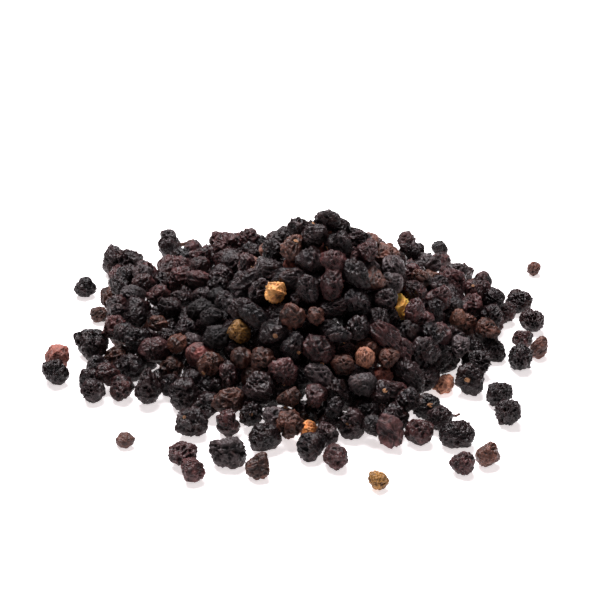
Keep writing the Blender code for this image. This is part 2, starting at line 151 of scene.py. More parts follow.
# Pointed berries: which way the point leans (x, y, z), and its length in millimetres.
POINTS = {
    "loose_front_pointed": ((0.35, 0.2, 0.9), 0.9),
    "loose_front_olive": ((-0.6, 0.4, 0.7), 0.6),
    "loose_far_right_nub": ((0.5, 0.3, 0.8), 0.6),
    "loose_red_far_left": ((0.5, 0.5, 0.7), 0.4),
}
# Berries stuck on a loose one and dried stalks, measured from its middle, in millimetres: lumps
# are (x, y, z, diameter), and stalks are the points of their line and their thickness.
LUMPS = {
    "loose_back_clump": [(2.6, 0.4, 0.1, 4.2)],
    "loose_back_stalked": [(-0.3, 0.9, 2.3, 2.6)],
}
STALKS = {
    "loose_back_stalked": ([(1.2, 0.3, 0.8), (2.6, 0.5, 0.9), (3.6, 0.7, 1.4), (4.3, 0.9, 1.5)], 0.8),
    "loose_right_stalked": ([(1.0, 0.4, 0.2), (1.9, 0.6, 0.5), (2.6, 0.9, 0.3), (3.2, 1.2, 0.5)], 0.6),
}

# The heap's berries that have their own node, and the look and the record's slot of each.
ACCENTS = {
    "berry_ochre_upper": ("ochre", "ochre_skin"),
    "berry_olive_left": ("olive", "olive_skin"),
    "berry_yellow_right": ("yellow", "yellow_skin"),
    "berry_orange_front": ("orange", "orange_skin"),
    "berry_brown_seed": ("brown", "brown_skin"),
    "berry_brown_right": ("nut", "brown_skin"),
    "berry_brown_middle": ("brown", "brown_skin"),
    "berry_plum_right": ("terracotta", "red_skin"),
    "berry_brown_ridged": ("brown", "brown_skin"),
    "berry_red_left": ("russet", "red_skin"),
}
LOOSE_SLOTS = {
    "dark": "dark_skin",
    "grey": "dark_skin",
    "plum": "dark_skin",
    "brown": "brown_skin",
    "husk": "brown_skin",
    "nut": "brown_skin",
    "terracotta": "red_skin",
    "olive": "olive_skin",
}

# Berries of the heap that the photograph shows in another look: the pixel and the look.
TINTED = [
    (327, 238, "terracotta"),
    (297, 265, "terracotta"),
    (492, 333, "brown"),
    (412, 299, "plum"),
    (217, 333, "brown"),
    (263, 391, "plum"),
    (390, 435, "folded"),
    (360, 379, "grey"),
    (280, 410, "grey"),
    (286, 306, "brown"),
    (360, 345, "brown"),
    (239, 400, "brown"),
    (184, 366, "brown"),
    (322, 356, "plum"),
    (380, 330, "plum"),
    (400, 386, "plum"),
    (330, 283, "plum"),
    (353, 278, "dark"),
    (300, 278, "dark"),
    (265, 330, "dark"),
    (288, 337, "dark"),
    (265, 375, "dark"),
    (345, 340, "dark"),
    # Berries in a shaded hollow, given a darker look as painted shade.
    (206, 288, "painted_shade"),
    (220, 292, "painted_shade"),
    (234, 286, "painted_shade"),
    (212, 304, "painted_shade"),
    (228, 304, "painted_shade"),
    (206, 318, "painted_shade"),
    (222, 318, "painted_shade"),
    (214, 332, "painted_shade"),
    (228, 342, "painted_shade"),
    (368, 232, "brown"),
    (380, 246, "grey"),
    (394, 254, "brown"),
    (372, 264, "grey"),
    (388, 270, "brown"),
    (404, 266, "grey"),
    (382, 288, "brown"),
    (398, 292, "grey"),
    (412, 280, "brown"),
]
# Berries of the heap whose outline the photograph shows: the pixel, how many times longer than wide,
# the lean of the long side from the picture's level, in degrees, and how much larger than poured.
SHAPED = [
    (390, 433, 1.4, 105, 1.42),
    (360, 380, 1.35, -15, 1.3),
    (249, 286, 2.1, 30, 1.05),
    (246, 317, 1.8, -35, 1.02),
    (380, 335, 1.9, -42, 1.05),
    (300, 278, 1.8, -4, 1.08),
    (330, 282, 1.35, 82, 1.08),
    (354, 278, 1.6, -65, 1.02),
    (337, 302, 1.6, 14, 1.05),
    (375, 311, 1.4, 85, 1.02),
    (288, 338, 1.4, 80, 1.0),
    (345, 340, 1.35, 2, 1.05),
    (222, 380, 1.35, 80, 1.0),
    (315, 380, 1.35, -25, 1.05),
    (400, 386, 1.75, -12, 1.0),
    (415, 376, 1.5, -55, 1.1),
    (376, 405, 1.6, -35, 1.0),
    (275, 260, 1.25, 5, 1.05),
    (265, 375, 1.05, 0, 1.15),
    (414, 312, 1.4, 80, 0.88),
]
# Calyx scars that the photograph shows: the pixel, and the scar's radius in millimetres.
SCARS_SEEN = [
    (328, 248, 0.42),
    (296, 241, 0.42),
    (315, 222, 0.4),
    (275, 335, 0.42),
    (322, 363, 0.42),
    (300, 353, 0.42),
    (305, 367, 0.28),
    (384, 391, 0.44),
    (361, 395, 0.36),
    (333, 299, 0.28),
    (204, 372, 0.36),
    (348, 425, 0.5),
    (424, 434, 0.3),
    (426, 425, 0.26),
    (284, 388, 0.28),
]

# Calyx scars on the loose berries: the pixel, and the radius in millimetres.
LOOSE_SCARS = [
    (431, 405, 0.45),
    (467, 380, 0.45),
    (184, 417, 0.32),
    (95, 345, 0.3),
]

# The berry's form, as in the part.
DENTS = 7
DENT_DEPTH = (-0.06, 0.17)
DENT_WIDTH = (0.25, 0.6)
SQUASH = (0.92, 1.07)
# More of a heap's berry: how much longer and larger it is, how many hollows it has and how deep and
# wide they are, and how often it has a point at one end and how long that is, in millimetres.
STRETCH = (1.0, 1.24)
SWELL = (0.95, 1.09)
HOLLOWS = (1, 3)
HOLLOW_DEPTH = (0.08, 0.3)
HOLLOW_WIDTH = (0.35, 0.8)
BEAK_SHARE = 0.4
BEAK_LENGTH = (0.3, 1.0)
# Loose berries have a shorter point, and the upward part of its direction is never downward.
LOOSE_BEAK = 0.8
LOOSE_BEAK_RISE = (0.1, 0.7)
# Berries whose middles are this near one of another colour keep the form that the part gives them.
NEIGHBOUR = 4.6

# Each kind of draw has its own seeds, so none of them shifts another. Forms are drawn as in the part.
HEAP_FORM_SEED = SEED * 1000
LOOSE_FORM_SEED = SEED * 10000
LUMP_FORM_SEED = SEED * 20000
SHRINK_SEED = SEED * 2000
BEAK_SEED = SEED * 9000
LOOK_SEED = SEED * 500
SKIN_SEED = SEED * 3000
SCAR_SEED = SEED * 4000
LOOSE_SKIN_SEED = SEED * 7000

# Rows that each face of an icosahedron is cut into, for a berry that the photograph's view shows
# openly or partly, one that only other sides show, and a hidden one.
OPEN_ROWS = 12
CLOSE_ROWS = 9
SIDE_ROWS = 7
HIDDEN_ROWS = 2
# Points are crowded toward the side that shows, by this much, on a heap's berry and on a loose one.
# A loose one's side that shows is the one toward the view, and this much upward.
CROWDING = 0.7
LOOSE_CROWDING = 0.35
LOOSE_UPWARD = 0.6
# A berry counts as seen from a side if it covers this many cells of a coarse picture, and as open to
# view with the larger number. A cell is in millimetres, and the picture has an empty edge of cells.
PICTURE_CELL = 0.35
PICTURE_EDGE = 10
CELLS_SEEN = 4
CELLS_OPEN = 45
SIDES = 8
SIDE_RISE = math.radians(25.0)
# The heap is cut into this many pieces of nearly as many triangles.
SLICES = 6
ICOSAHEDRON_FACES = 20

# Wrinkles: cells on a berry, and the width of the lines between them, as a share of its radius. Folds
# are the coarsest and may rise or sink, the net stands out as ridges, sharper with a larger NET_EDGE,
# and the fine net is grain.
FOLD_CELLS = (7, 13)
NET_CELLS = (95, 155)
FINE_CELLS = (230, 300)
FOLD_WIDTH = 0.17
NET_WIDTH = 0.3
NET_EDGE = 1.7
FINE_WIDTH = 0.04
# How far up a fold or a line the skin keeps its usual radius.
FOLD_LEVEL = 0.3
NET_LEVEL = 0.33
# Long folds run from end to end: how many waves, how fast each fades, how it wavers, how late it ends
# toward the ends, how high it is, and its share of the net's bend.
LONG_FOLDS = (2, 4)
LONG_FADE = 0.35
LONG_WAVER = 1.1
LONG_WAVER_TURNS = 2.0
LONG_ENDS = 4
LONG_SPREAD = (0, 1.3)
LONG_WARP = 0.6
# The net is bent out of true and drawn out along one axis, and it is stronger here and there.
WARP = 0.13
WARP_TURNS = 3.2
LEAST_STRETCH = 0.55
STRONGER = 0.85
STRONGER_SPREAD = 0.5
STRONGER_TURNS = 3.0
STRONGER_RANGE = (0.4, 1.3)
# Lumps under the skin: their height, how often they come round it, and a smaller kind's share.
LUMPY = 0.07
LUMP_TURNS = (2.5, 6.0)
SMALL_LUMPS = 0.7
SKIN_SINK = 0.1
# How much of a skin's ridge colour the ridges of the net, the folds and the long folds take. The ridge
# colour is partly their own browner tone and partly painted highlight, and hollows get painted shade.
RIDGE_EDGE = 1.8
NET_RIDGE = 0.9
FOLD_RIDGE = 0.25
LONG_RIDGE = 0.2
# A smooth random field: waves in it, or fewer where it only bends, and what brings it to about 1.
WAVES = 6
FEW_WAVES = 3
WAVE_SCALE = 1.8
# Directions that axes don't run along, from which the directions across them are worked out.
FOLD_HINT = (0.31, 0.52, 0.79)
SCAR_HINT = (0.31, 0.22, 0.93)
STALK_HINT = (0.1, -0.2, 0.97)
VIEW_HINT = (0.0, 0.01, 1.0)
# How far a berry on the floor settles into its flat spot, and how near the floor it has to lie. A lump
# lies on the floor too if its middle is this little above or below that of its berry.
SETTLE = 0.12
FLOOR_REACH = 0.05
LUMP_REACH = 0.2

# Looks of a skin: colour between the ridges, colour of the ridges, colour of its patches, the share
# of patches, the heights of folds, net, fine net and long folds, and roughness. The colour between the
# ridges is the skin's own dark colour with painted shade, and the ridges' colour is their own browner
# tone with painted highlight.
LOOKS = {
    "dark": ((0.0014, 0.0010, 0.0016), (0.022, 0.0118, 0.0120), (0.025, 0.009, 0.007), 0.22,
             (0.18, 0.35, 0.03, 0.16), 0.17),
    # A look for berries in a shaded hollow: the dark look made darker, as painted shade, and rougher.
    "painted_shade": ((0.0009, 0.0007, 0.0010), (0.009, 0.0050, 0.0050), (0.012, 0.005, 0.004), 0.2,
             (0.18, 0.30, 0.03, 0.16), 0.45),
    "grey": ((0.0085, 0.0068, 0.0072), (0.074, 0.0540, 0.0550), (0.046, 0.022, 0.018), 0.3,
             (0.13, 0.36, 0.03, 0.12), 0.28),
    "folded": ((0.0110, 0.0062, 0.0066), (0.120, 0.0540, 0.0540), (0.070, 0.027, 0.023), 0.4,
               (0.14, 0.09, 0.03, 0.26), 0.33),
    "plum": ((0.0050, 0.0022, 0.0024), (0.060, 0.0245, 0.0240), (0.058, 0.018, 0.016), 0.33,
             (0.17, 0.29, 0.035, 0.18), 0.21),
    "brown": ((0.0100, 0.0038, 0.0027), (0.092, 0.0390, 0.0280), (0.088, 0.027, 0.016), 0.42,
              (0.17, 0.26, 0.035, 0.20), 0.26),
    "husk": ((0.0110, 0.0043, 0.0030), (0.085, 0.0370, 0.0270), (0.055, 0.018, 0.011), 0.4,
             (0.12, 0.07, 0.03, 0.12), 0.34),
    "seed": ((0.0300, 0.0100, 0.0062), (0.165, 0.0700, 0.0450), (0.110, 0.034, 0.019), 0.45,
             (0.11, 0.19, 0.035, 0.17), 0.35),
    "nut": ((0.0800, 0.0300, 0.0180), (0.500, 0.2200, 0.1350), (0.160, 0.050, 0.026), 0.42,
            (0.13, 0.20, 0.035, 0.17), 0.36),
    "russet": ((0.0300, 0.0090, 0.0080), (0.150, 0.0540, 0.0480), (0.300, 0.080, 0.066), 0.42,
               (0.13, 0.17, 0.03, 0.12), 0.38),
    "terracotta": ((0.0600, 0.0160, 0.0110), (0.200, 0.0700, 0.0520), (0.420, 0.125, 0.090), 0.5,
                   (0.13, 0.14, 0.03, 0.12), 0.42),
    "ochre": ((0.1750, 0.0560, 0.0160), (0.560, 0.2650, 0.0780), (0.045, 0.014, 0.006), 0.56,
              (0.20, 0.20, 0.03, 0.22), 0.38),
    "olive": ((0.1350, 0.0640, 0.0140), (0.340, 0.1650, 0.0360), (0.045, 0.015, 0.005), 0.5,
              (0.20, 0.20, 0.03, 0.22), 0.38),
    "yellow": ((0.9000, 0.3700, 0.0500), (0.980, 0.5000, 0.1000), (0.550, 0.160, 0.025), 0.15,
               (0.15, 0.10, 0.03, 0.12), 0.42),
    "orange": ((0.3600, 0.1100, 0.0260), (0.640, 0.2700, 0.0900), (0.120, 0.030, 0.012), 0.38,
               (0.20, 0.12, 0.03, 0.20), 0.45),
}
# How often a berry of the heap has each look, where the photograph doesn't single it out, in front of
# this distance from the middle and behind it.
SHARES = {"dark": 0.74, "grey": 0.03, "plum": 0.14, "brown": 0.08, "seed": 0.01}
BACK_SHARES = {"dark": 0.4, "grey": 0.08, "plum": 0.36, "brown": 0.14, "seed": 0.02}
BACK = 8.0
# A skin's age lightens or darkens all of it. Its patches come in two sizes, have a fairly sharp edge,
# and are darker between the ridges, as painted shade, and lighter on them.
AGE = (0.65, 1.4)
PATCH_TURNS = (4.0, 11.0)
SMALL_PATCHES = 0.4
PATCH_EDGE = 2.2
PATCH_SHADED_BETWEEN = 0.55
PATCH_LIT_ON_RIDGE = 0.45
MOTTLE = 0.3
MOTTLE_TURNS = 8.0
TINT_RANGE = (0.001, 0.9)
# Roughness: how it varies over a skin and between skins, and how much smoother the ridges are.
ROUGH_NOISE = 0.06
ROUGH_TURNS = 5.0
ROUGH_BETWEEN = 0.1
RIDGE_SMOOTH = 0.12
ROUGH_SPREAD = (-0.04, 0.08)
ROUGH_RANGE = (0.12, 0.85)

# A calyx scar: a lobed, slightly oval and ragged disc of rings round a pit.
SCAR_SHARE = 0.13
SCAR_RADIUS = (0.22, 0.38)
SCAR_TURNS = 12
SCAR_EDGE = (0.10, 0.038, 0.018)
SCAR_RIM = (0.52, 0.28, 0.14)
SCAR_PIT = (0.28, 0.115, 0.050)
SCAR_LOBES = (4, 5)
SCAR_LOBE_DEPTH = 0.08
SCAR_OVAL = (0.05, 0.25)
SCAR_RAGGED = (0.9, 1.1)
SCAR_UNEVEN = (0.6, 1.4)
SCAR_AGE = (0.5, 1.25)
SCAR_MOTTLE = (0.6, 1.3)
SCAR_ROUGH = 0.55
# Its rings from the outside in: the share of its radius, the height as a share of that, and colour.
SCAR_RINGS = [
    (1.0, -0.3, SCAR_EDGE),
    (0.98, 0.06, SCAR_EDGE),
    (0.74, 0.2, SCAR_RIM),
    (0.4, 0.12, SCAR_PIT),
]
SCAR_FOOT = -0.35
SCAR_MIDDLE = 0.1

# A dried stalk: rings along it, corners of a ring, how it thins, and how knobbly and mottled it is.
STALK_RINGS = 13
STALK_TURNS = 8
STALK_THINS = 0.45
STALK_KNOBS = (0.82, 1.2)
STALK_RAGGED = (0.85, 1.15)
STALK_TINT = (0.075, 0.034, 0.022)
STALK_MOTTLE = (0.5, 1.5)
DULL = 0.6

# How strongly each skin mirrors light, as the shader's specular level.
GLOSS = {
    "dark_skin": 0.25,
    "brown_skin": 0.26,
    "red_skin": 0.3,
    "ochre_skin": 0.4,
    "olive_skin": 0.32,
    "yellow_skin": 0.4,
    "orange_skin": 0.3,
}
# The shader's own detail, too fine for the mesh: creases bent out of straight, grain and blotches.
# The creases' raised lines are painted lighter and the cells between them darker: painted highlight
# and shade.
# Scales are in turns per millimetre, the bend and the bump's depth in millimetres, and the heights of
# creases and grain are shares of that depth.
BEND = 0.5
BEND_SCALE = 1.3
BEND_DETAIL = 2.0
CREASE_SCALE = 2.1
CREASE_WIDTH = 0.24
GRAIN_SCALE = 5.0
GRAIN_DETAIL = 4.0
BLOTCH_SCALE = 1.1
BLOTCH_DETAIL = 3.0
BLOTCH_SHADES = (0.7, 1.3)
CREASE_SHADE_AND_HIGHLIGHT = (0.85, 1.25)
GRAIN_ROUGH = (-0.08, 0.1)
CREASE_HEIGHT = 0.6
GRAIN_HEIGHT = 0.7
BUMP_DEPTH = 0.07
# The part of a noise's values that a step uses, narrower or wider.
NOISE_MIDDLE = (0.3, 0.7)
NOISE_SPAN = (0.25, 0.75)

# The pale ground, and the studio: a dim pale surround and two lamps. A lamp is where it stands, in
# metres, its side and its power in watts.
FLOOR_REACHES = 3.0
FLOOR_COLOUR = (0.93, 0.915, 0.92, 1)
FLOOR_ROUGH = 0.9
FLOOR_SHINE = 0.1
FLOOR_GLOW = (1, 0.93, 0.93, 1)
FLOOR_GLOW_STRENGTH = 0.7
SURROUND_COLOUR = (1, 0.955, 0.98, 1)
SURROUND_STRENGTH = 0.05
LAMP_COLOUR = (1, 0.96, 0.985)
LAMPS = {
    "soft_box": ((-0.09, 0.22, 0.58), 0.38, 9.8),
    "front_fill": ((0.25, -0.35, 0.50), 0.3, 0.4),
}


def in_foot(x, y):
    """Whether a point of the floor is inside the heap's foot."""
    odd = False
    ax, ay = FOOT[-1]
    for bx, by in FOOT:
        if (ay > y) != (by > y) and x < (bx - ax) * (y - ay) / (by - ay) + ax:
            odd = not odd
        ax, ay = bx, by
    return odd


def pile_height(x, y):
    """How high berries may pile up over a point of the floor."""
    if not in_foot(x, y):
        return 0.0
    cx, cy, rx, ry, top = CONE
    out = math.sqrt(((x - cx) / rx) ** 2 + ((y - cy) / ry) ** 2)
    height = max(ONE_LAYER, top * (1 - out) * (1 - CONE_BOW * out))
    for cx, cy, rx, ry, middle, edge in SHELVES:
        out = ((x - cx) / rx) ** 2 + ((y - cy) / ry) ** 2
        if out < 1:
            height = max(height, middle + (edge - middle) * out)
    return height


class Pile:
    """Balls at rest, found by the cell of the floor that they lie over."""

    def __init__(self):
        self.cells = {}

    def add(self, x, y, z, r):
        cell = (int(x // CELL), int(y // CELL))
        self.cells.setdefault(cell, []).append((x, y, z, r))

    def near(self, x, y):
        i, j = int(x // CELL), int(y // CELL)
        found = []
        for a in (i - 1, i, i + 1):
            for b in (j - 1, j, j + 1):
                found += self.cells.get((a, b), ())
        return found

    def drop(self, x, y, r):
        """Where a ball dropped at x, y comes to rest."""
        z = r
        for bx, by, bz, br in self.near(x, y):
            level = (r + br) ** 2 - (bx - x) ** 2 - (by - y) ** 2
            if level > 0:
                z = max(z, bz + math.sqrt(level))
        while z > r + FLOOR_TOUCH:
            nx, ny, nz = x, y, z - STEP
            others = self.near(x, y)
            touching = 0
            for _ in range(PUSHES):
                touching = 0
                for bx, by, bz, br in others:
                    dx, dy, dz = nx - bx, ny - by, nz - bz
                    apart = dx * dx + dy * dy + dz * dz
                    reach = r + br
                    if apart < (reach + TOUCH) ** 2:
                        touching += 1
                    if 0 < apart < reach * reach:
                        push = reach / math.sqrt(apart)
                        nx, ny, nz = bx + dx * push, by + dy * push, bz + dz * push
                if nz < r:
                    nz = r
                    touching += 1
            fall = z - nz
            x, y, z = nx, ny, nz
            if fall < STEP * STILL_SHARE or (touching > 1 and fall < STEP * HELD_SHARE):
                break
        return x, y, z


def pour():
    """The heap's berries (x, y, z, radius), dropped one by one round the loose ones."""
    draw = random.Random(SEED)
    pile = Pile()
    for x, y, across, _ in LOOSE.values():
        pile.add(x, y, across / 2, across / 2 + LOOSE_GAP)
    berries = []
    misses = 0
    while misses < MISSES:
        x = draw.uniform(FOOT_BOX[0], FOOT_BOX[1])
        y = draw.uniform(FOOT_BOX[2], FOOT_BOX[3])
        r = BERRY_R + BERRY_SPREAD * (draw.random() + draw.random() + draw.random() - 1.5)
        if not in_foot(x, y):
            continue
        x, y, z = pile.drop(x, y, r)
        if z + r > pile_height(x, y) + OVER_PILE:
            misses += 1
            continue
        misses = 0
        pile.add(x, y, z, r)
        berries.append((x, y, z, r))
    return berries


def unit(ways):
    """The same directions, each of length 1."""
    return ways / np.linalg.norm(ways, axis=-1, keepdims=True)


def view_axes():
    """The photograph's view as unit directions: to the right, up and forward."""
    forward = np.array((0.0, math.cos(LOOKS_DOWN), -math.sin(LOOKS_DOWN)))
    up = np.array((0.0, math.sin(LOOKS_DOWN), math.cos(LOOKS_DOWN)))
    return np.array((1.0, 0.0, 0.0)), up, forward


RIGHT, UP, FORWARD = view_axes()
EYE = AIM - FORWARD * VIEW_DISTANCE
LOOSE_WAY = LOOSE_CROWDING * unit(np.array((0.0, 0.0, LOOSE_UPWARD)) - FORWARD)


def pixel_place(px, py):
    """The point that a pixel of the photograph shows, on the plane through AIM."""
    return AIM + (RIGHT * (px - AIM_PIXEL[0]) + UP * (AIM_PIXEL[1] - py)) * PIXEL


def hit_through(px, py, centres, radii):
    """The first ball that a pixel shows, and the direction from its centre to the point that shows."""
    way = unit(pixel_place(px, py) - EYE)
    to_centre = centres - EYE
    along = to_centre @ way
    inside = radii**2 - (to_centre**2).sum(1) + along**2
    if inside.max() <= 0:
        nearest = int(inside.argmax())
        return nearest, unit(EYE + way * along[nearest] - centres[nearest])
    depth = np.where(inside > 0, along - np.sqrt(np.maximum(inside, 0)), np.inf)
    first = int(depth.argmin())
    return first, unit(EYE + way * depth[first] - centres[first])


def geodesic(rows):
    """Directions spread over a ball and the triangles between them, from a finely cut icosahedron."""
    bm = bmesh.new()
    bmesh.ops.create_icosphere(bm, subdivisions=1, radius=1)
    faces = [[np.array(v.co) for v in face.verts] for face in bm.faces]
    bm.free()
    index = {}
    ways = []
    triangles = []

    def corner(a, b, c, i, j):
        place = (a * (rows - i - j) + b * i + c * j) / rows
        key = tuple(np.round(place, 4) + 0.0)
        if key not in index:
            index[key] = len(ways)
            ways.append(place)
        return index[key]

    for a, b, c in faces:
        for i in range(rows):
            for j in range(rows - i):
                low = corner(a, b, c, i, j)
                side = corner(a, b, c, i + 1, j)
                up = corner(a, b, c, i, j + 1)
                triangles.append((low, side, up))
                if i + j < rows - 1:
                    triangles.append((side, corner(a, b, c, i + 1, j + 1), up))
    return unit(np.array(ways)), np.array(triangles)


def random_way(draw):
    """A direction, each as likely as any other."""
    while True:
        way = Vector((draw.uniform(-1, 1), draw.uniform(-1, 1), draw.uniform(-1, 1)))
        if 0.1 < way.length < 1:
            return way.normalized()


def berry_form(seed):
    """The dents and the squash of one berry, drawn as in the part."""
    draw = random.Random(seed)
    dents = []
    for _ in range(DENTS):
        dents.append((random_way(draw), draw.uniform(*DENT_DEPTH), draw.uniform(*DENT_WIDTH)))
    return {
        "dents": dents,
        "squash": np.array([draw.uniform(*SQUASH) for _ in range(3)]),
        "turn": Quaternion(random_way(draw), draw.uniform(0, math.tau)),
    }


def loose_form(name, index):
    """A loose berry's form, with its length and its point."""
    form = berry_form(LOOSE_FORM_SEED + index)
    if name in LONG:
        stretch, turn = LONG[name]
        form["long"] = (stretch, math.radians(turn))
    if name in POINTS:
        lean, length = POINTS[name]
        form["point"] = (np.array(Vector(lean).normalized()), length)
    elif index % 2:
        draw = random.Random(BEAK_SEED + index)
        lean = np.array((draw.uniform(-1, 1), draw.uniform(-1, 1), draw.uniform(*LOOSE_BEAK_RISE)))
        form["point"] = (unit(lean), draw.uniform(*BEAK_LENGTH) * LOOSE_BEAK)
    return form


def heap_form(i, as_in_part):
    """The form of a berry of the heap, shrunken further unless it is to stay as in the part."""
    form = berry_form(HEAP_FORM_SEED + i)
    if not as_in_part:
        draw = random.Random(SHRINK_SEED + i)
        for _ in range(draw.randint(*HOLLOWS)):
            hollow = (random_way(draw), draw.uniform(*HOLLOW_DEPTH), draw.uniform(*HOLLOW_WIDTH))
            form["dents"].append(hollow)
        form["stretch"] = (np.array(random_way(draw)), draw.uniform(*STRETCH), draw.uniform(*SWELL))
        if draw.random() < BEAK_SHARE:
            form["point"] = (np.array(random_way(draw)), draw.uniform(*BEAK_LENGTH))
    return form


def form_points(ways, out, r, form):
    """The skin's points, out times its usual distance, on the form that the part gives the berry."""
    out = out.copy()
    for dent, depth, width in form["dents"]:
        near = np.maximum((ways @ np.array(dent) - 1 + width) / width, 0)
        out -= depth * near * near
    points = ways * form["squash"] * r * out[:, None]
    if "stretch" in form:
        axis, stretch, swell = form["stretch"]
        points += np.outer(points @ axis * (stretch - 1), axis)
        points *= swell / stretch ** (1 / 3)
    if "long" in form:
        stretch, turn = form["long"]
        along = np.array((math.cos(turn), math.sin(turn), 0))
        points += np.outer(points @ along * (stretch - 1), along)
        points[:, 2] /= math.sqrt(stretch)
    if "point" in form:
        lean, length = form["point"]
        near = np.maximum(ways @ lean * 2 - 1, 0)
        points += np.outer(length * near * near, lean)
    return points


def soft_noise(ways, draw, turns, waves=WAVES):
    """A smooth random field over a berry, from about -1 to 1, with so many turns round it."""
    total = np.zeros(len(ways))
    for _ in range(waves):
        total += np.cos(ways @ np.array(random_way(draw)) * turns + draw.uniform(0, math.tau))
    return total / waves * WAVE_SCALE


def crosswise(way, hint):
    """Two directions at right angles to a direction and to each other."""
    side = unit(np.cross(way, hint))
    return side, np.cross(way, side)


def long_folds(ways, draw):
    """How near each direction is to one of the long folds that run from end to end of a berry."""
    axis = np.array(random_way(draw))
    side, other = crosswise(axis, FOLD_HINT)
    turn = draw.randint(*LONG_FOLDS) * np.arctan2(ways @ side, ways @ other)
    wave = np.cos(turn + LONG_WAVER * soft_noise(ways, draw, LONG_WAVER_TURNS, FEW_WAVES))
    return np.exp(-np.abs(wave) / LONG_FADE) * (1 - (ways @ axis) ** LONG_ENDS)


def from_lines(places, cells):
    """How far each place is from a line between two cells, as the cell distances' difference."""
    apart = (places**2).sum(1)[:, None] + (cells**2).sum(1)[None] - 2 * places @ cells.T
    first, second = np.partition(np.sqrt(np.maximum(apart, 0)), 1, axis=1)[:, :2].T
    return second - first


def wrinkles(ways, draw, heights):
    """How far folds and nets lift the skin, as a share of the radius, and how much is ridge."""
    fold_height, net_height, fine_height, long_height = heights
    bend = np.stack([soft_noise(ways, draw, WARP_TURNS, FEW_WAVES) for _ in range(3)], 1)
    axis = np.array(random_way(draw))
    stretch = draw.uniform(LEAST_STRETCH, 1.0)

    def drawn_out(points):
        return points + np.outer(points @ axis * (stretch - 1), axis)

    def some_cells(few, many):
        return drawn_out(np.array([random_way(draw) for _ in range(draw.randint(few, many))]))

    places = drawn_out(ways + bend * WARP)
    large, small = (soft_noise(ways, draw, turns) for turns in LUMP_TURNS)
    lumps = LUMPY * (large + SMALL_LUMPS * small)
    folds = np.exp(-from_lines(places, some_cells(*FOLD_CELLS)) / FOLD_WIDTH)
    lines = np.maximum(1 - from_lines(places, some_cells(*NET_CELLS)) / NET_WIDTH, 0) ** NET_EDGE
    fine = np.exp(-from_lines(places, some_cells(*FINE_CELLS)) / FINE_WIDTH)
    long = long_folds(ways + LONG_WARP * WARP * bend, draw)
    stronger = STRONGER + STRONGER_SPREAD * soft_noise(ways, draw, STRONGER_TURNS)
    stronger = np.clip(stronger, *STRONGER_RANGE)
    fold_sign = draw.choice((1.0, -1.0))
    long_sign = draw.choice((1.0, 1.0, -1.0))
    lift = lumps + fold_sign * fold_height * (folds - FOLD_LEVEL)
    lift += long_sign * long_height * draw.uniform(*LONG_SPREAD) * (long - FOLD_LEVEL)
    lift += stronger * (net_height * (lines - NET_LEVEL) + fine_height * (fine - FOLD_LEVEL))
    ridge = NET_RIDGE * lines**RIDGE_EDGE * stronger
    ridge += FOLD_RIDGE * folds * fold_sign + LONG_RIDGE * long * long_sign
    return lift - SKIN_SINK, np.clip(ridge, 0, 1)


def skin_tint(ways, ridge, look, draw):
    """The colour and roughness at each point of a skin. Its colour has painted shade between the
    ridges and painted highlight on them.
    """
    hollow_tone_and_shade, ridge_tone_and_highlight, patch, patches, _, rough = LOOKS[look]
    age = draw.uniform(*AGE)
    large, small = (soft_noise(ways, draw, turns) for turns in PATCH_TURNS)
    part = np.clip((large + SMALL_PATCHES * small + 2 * patches - 1) * PATCH_EDGE, 0, 1)[:, None]
    mottle = (1 + MOTTLE * soft_noise(ways, draw, MOTTLE_TURNS))[:, None]
    # The ridges take the ridge colour, their own browner tone with painted highlight, and the colour
    # between them has painted shade.
    ridge_highlight_share = ridge[:, None]
    # Patches are darker between the ridges as painted shade, and lighter on the ridges.
    tint = np.array(patch) * part * (PATCH_SHADED_BETWEEN + PATCH_LIT_ON_RIDGE * ridge_highlight_share)
    tint += np.array(hollow_tone_and_shade) * (1 - part)
    tint = (tint * (1 - ridge_highlight_share) + np.array(ridge_tone_and_highlight) * ridge_highlight_share) * mottle * age
    gloss = rough + ROUGH_NOISE * soft_noise(ways, draw, ROUGH_TURNS)
    gloss += ROUGH_BETWEEN - RIDGE_SMOOTH * ridge + draw.uniform(*ROUGH_SPREAD)
    return np.column_stack([np.clip(tint, *TINT_RANGE), np.clip(gloss, *ROUGH_RANGE)])


class Skin:
    """Points, triangles and skin values gathered for one piece."""

    def __init__(self):
        self.points = []
        self.triangles = []
        self.values = []
        self.count = 0
        self.faces = 0

    def add(self, points, triangles, values):
        self.points.append(points)
        self.triangles.append(triangles + self.count)
        self.values.append(values)
        self.count += len(points)
        self.faces += len(triangles)

    def piece(self, name, slot, nodes):
        """Makes the mesh object, which stands for the nodes."""
        points = np.concatenate(self.points) * MM
        triangles = np.concatenate(self.triangles)
        values = np.concatenate(self.values)
        mesh = bpy.data.meshes.new(name)
        mesh.vertices.add(len(points))
        mesh.vertices.foreach_set("co", points.astype(np.float32).ravel())
        mesh.loops.add(triangles.size)
        mesh.loops.foreach_set("vertex_index", triangles.astype(np.int32).ravel())
        mesh.polygons.add(len(triangles))
        mesh.polygons.foreach_set("loop_start", np.arange(0, triangles.size, 3, dtype=np.int32))
        mesh.update(calc_edges=True)
        skin = mesh.color_attributes.new("skin", "FLOAT_COLOR", "POINT")
        skin.data.foreach_set("color", values.astype(np.float32).ravel())
        mesh.shade_smooth()
        mesh.materials.append(MATERIALS[slot])
        thing = bpy.data.objects.new(name, mesh)
        bpy.context.scene.collection.objects.link(thing)
        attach(thing, "root")
        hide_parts(*nodes)
        return thing


